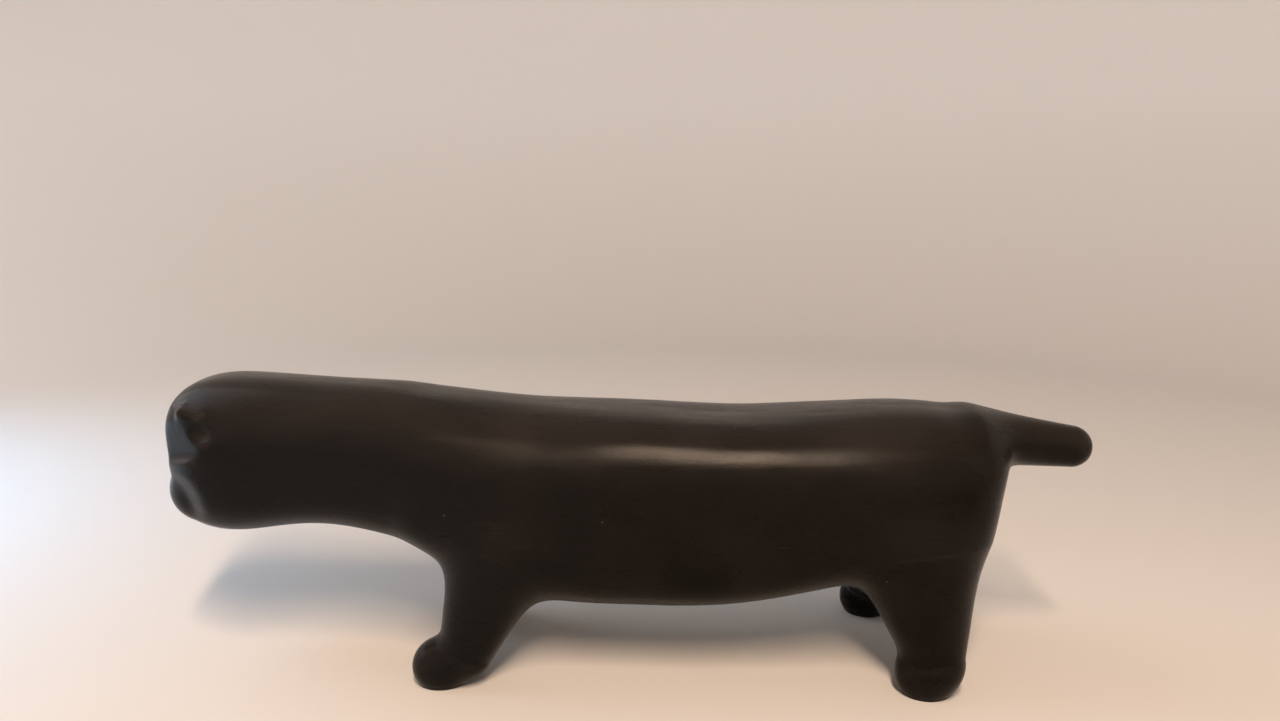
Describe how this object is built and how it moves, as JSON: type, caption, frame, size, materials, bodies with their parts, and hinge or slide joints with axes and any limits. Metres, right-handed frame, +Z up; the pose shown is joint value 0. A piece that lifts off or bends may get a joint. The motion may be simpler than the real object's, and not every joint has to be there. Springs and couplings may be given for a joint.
{
  "type": "cat figurine",
  "caption": "Long standing cat in hand-built burnished black clay, blunt head, low ears, stub legs and tail, hollow body with a vent under the belly.",
  "frame": {"origin": "on the ground, under the middle of the bounding box; the middle plane of the body lies about 4 mm towards -Y of it, because the right rear foot is set further out", "axes": "+Z up, the head towards -X, the cat's left flank towards -Y"},
  "size_m": [0.2954, 0.077, 0.0935],
  "materials": {
    "body_clay": "burnished black, satin",
    "head_clay": "burnished black, satin",
    "muzzle_clay": "burnished black, satin",
    "left_ear_clay": "burnished black, satin",
    "right_ear_clay": "burnished black, satin",
    "front_left_leg_clay": "burnished black, satin",
    "front_right_leg_clay": "burnished black, satin",
    "rear_left_leg_clay": "burnished black, satin",
    "rear_right_leg_clay": "burnished black, satin",
    "tail_clay": "burnished black, satin"
  },
  "bodies": {
    "root": {"body_shell": "body_clay", "head_shell": "head_clay", "muzzle_pad": "muzzle_clay", "left_ear": "left_ear_clay", "right_ear": "right_ear_clay", "front_left_leg": "front_left_leg_clay", "front_right_leg": "front_right_leg_clay", "rear_left_leg": "rear_left_leg_clay", "rear_right_leg": "rear_right_leg_clay", "tail": "tail_clay"}
  },
  "joints": []
}
